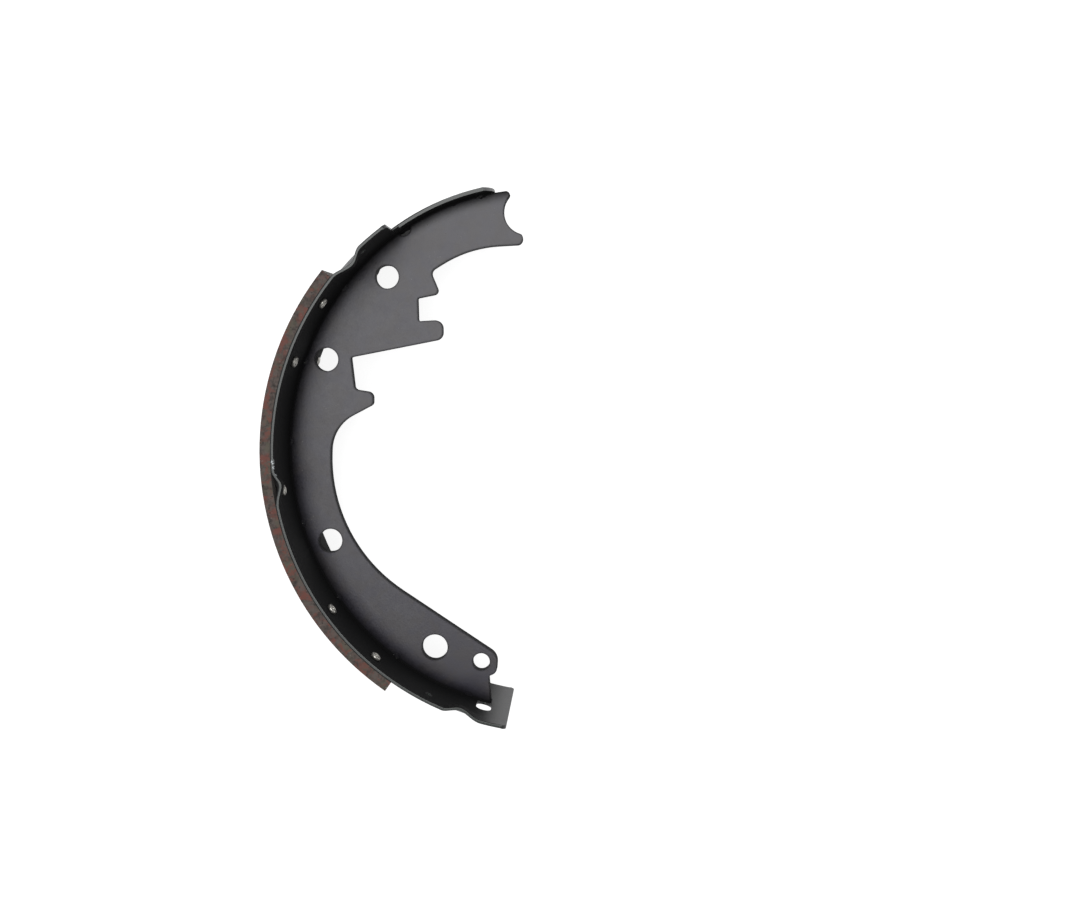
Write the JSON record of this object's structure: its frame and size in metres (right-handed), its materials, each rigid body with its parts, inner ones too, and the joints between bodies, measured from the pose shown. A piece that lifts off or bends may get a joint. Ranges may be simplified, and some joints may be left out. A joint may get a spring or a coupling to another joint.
{
  "type": "drum brake shoe",
  "caption": "Riveted drum brake shoe: a curved friction lining on a rolled steel rim with side nibs and a tongue, welded to a flat web with an anchor seat, notches and round holes.",
  "frame": {"origin": "on the drum's axis, halfway across the shoe's width", "axes": "+Z along the drum's axis, away from the backing plate; +Y from the axis towards the anchor pin; the lining faces -X"},
  "size_m": [0.1362, 0.2621, 0.0698],
  "materials": {
    "web_paint": "satin dark grey paint",
    "table_paint": "satin near-black paint",
    "friction_block": "ground friction composite, dull",
    "rivet_metal": "plated, satin"
  },
  "bodies": {
    "root": {"web": "web_paint", "table": "table_paint", "lining": "friction_block", "rivet_1_upper": "rivet_metal", "rivet_1_lower": "rivet_metal", "rivet_2_upper": "rivet_metal", "rivet_2_lower": "rivet_metal", "rivet_3_upper": "rivet_metal", "rivet_3_lower": "rivet_metal", "rivet_4_upper": "rivet_metal", "rivet_4_lower": "rivet_metal", "rivet_5_upper": "rivet_metal", "rivet_5_lower": "rivet_metal"}
  },
  "joints": []
}
